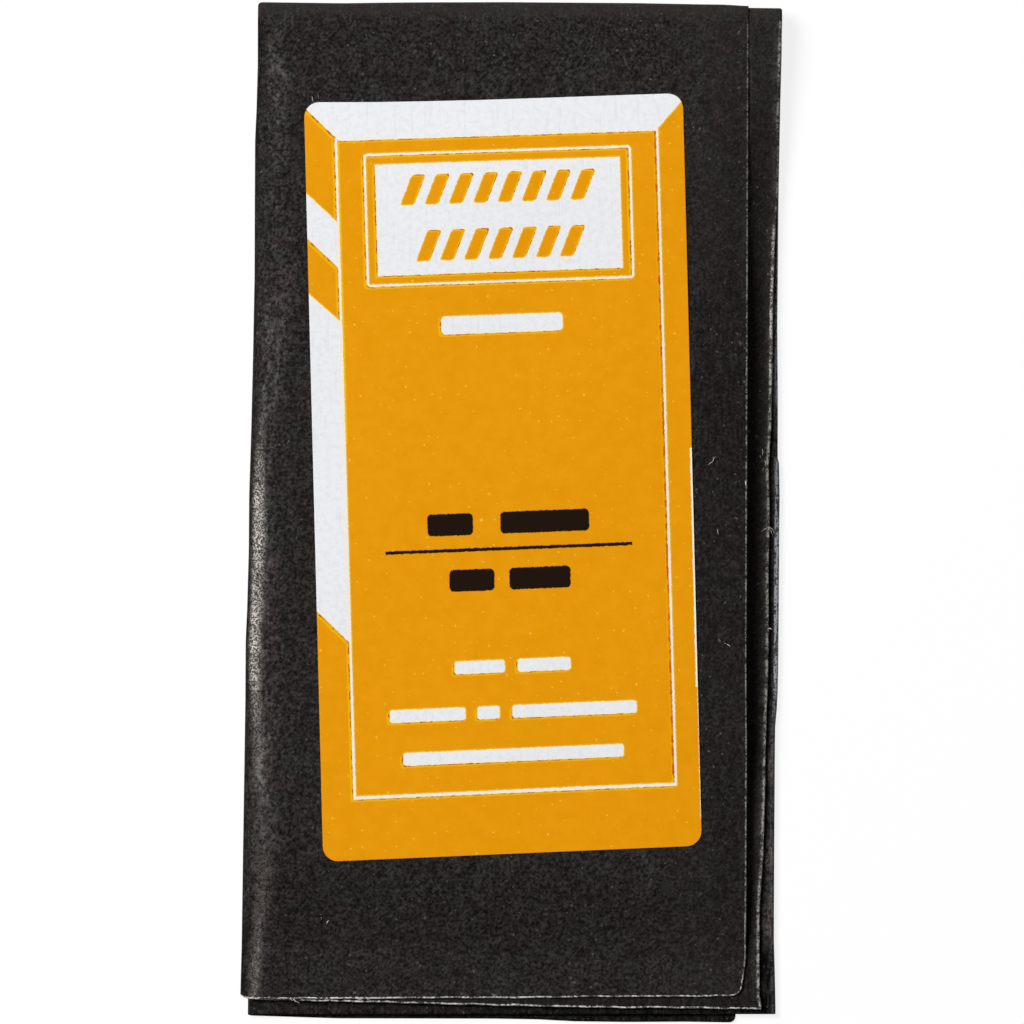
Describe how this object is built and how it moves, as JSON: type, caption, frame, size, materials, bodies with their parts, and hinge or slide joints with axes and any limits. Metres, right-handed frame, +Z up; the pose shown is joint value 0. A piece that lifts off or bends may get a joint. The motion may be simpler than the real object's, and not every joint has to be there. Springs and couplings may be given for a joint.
{
  "type": "needle packet",
  "caption": "Flat packet of folded black paper that holds hand needles: folded in three lengthwise, then in half across the top, with an orange and white adhesive label on its front.",
  "frame": {"origin": "middle of the packet's outline, on the surface that it lies on", "axes": "+X across the packet towards the free edge of the flap, +Y along it towards the top fold, +Z up out of the label"},
  "size_m": [0.0356, 0.0672, 0.0027],
  "materials": {
    "black_paper": "matte, fine-grained, worn pale at the folds and cut edges",
    "printed_label": "smooth coated paper, printed orange on white"
  },
  "bodies": {
    "root": {"packet": "black_paper", "label": "printed_label"}
  },
  "joints": []
}
